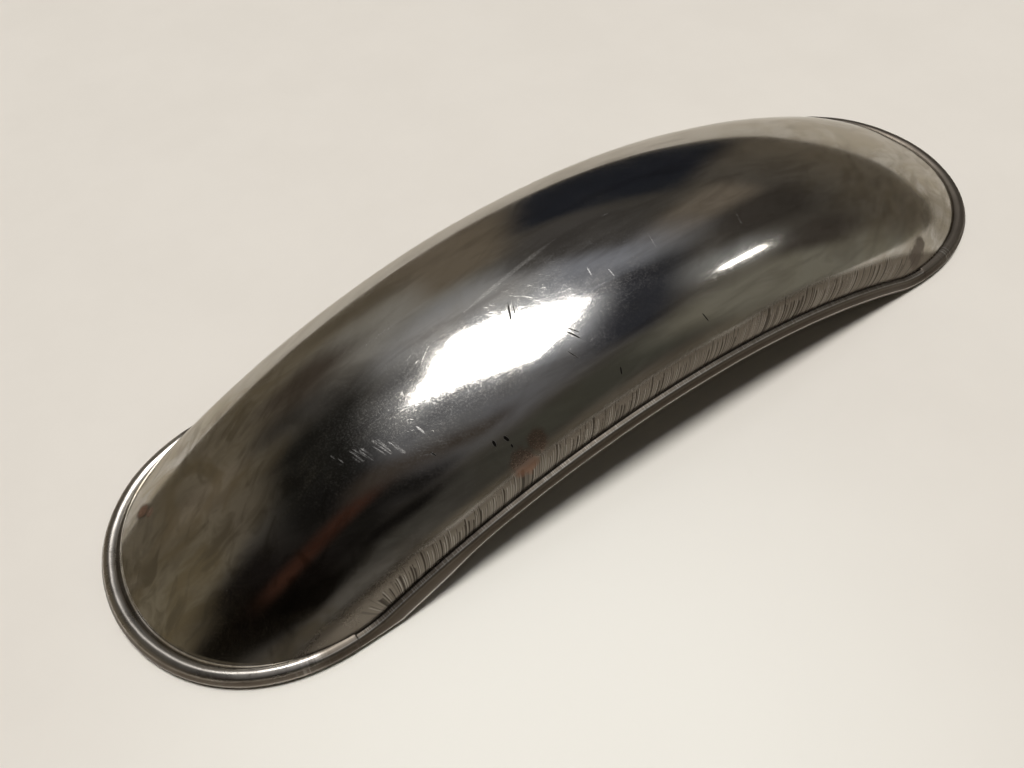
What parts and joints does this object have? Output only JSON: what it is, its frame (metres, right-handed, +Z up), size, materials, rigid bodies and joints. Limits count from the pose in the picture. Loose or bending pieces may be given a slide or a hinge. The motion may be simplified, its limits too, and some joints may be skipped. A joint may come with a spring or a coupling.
{
  "type": "motorcycle mudguard",
  "caption": "Bare steel motorcycle front mudguard: an arched, domed skin with a wired bead all round its rim.",
  "frame": {"origin": "on the surface that the two end beads rest on, midway between the two tips and on the centre plane", "axes": "+X along the mudguard towards its front end, +Y to its left across its width, +Z up from the resting surface to the crown"},
  "size_m": [0.423, 0.1268, 0.0675],
  "materials": {
    "polished_steel": "worn mirror polish, with fine scratches, oil haze and a little rust",
    "bead_steel": "satin rolled steel, lightly hammered",
    "wire_steel": "drawn wire, dull"
  },
  "bodies": {
    "root": {"fender_skin": "polished_steel", "front_end_bead": "bead_steel", "rear_end_bead": "bead_steel", "edge_wire_front": "wire_steel", "edge_wire_rear": "wire_steel", "edge_wire_left": "wire_steel", "edge_wire_right": "wire_steel"}
  },
  "joints": []
}
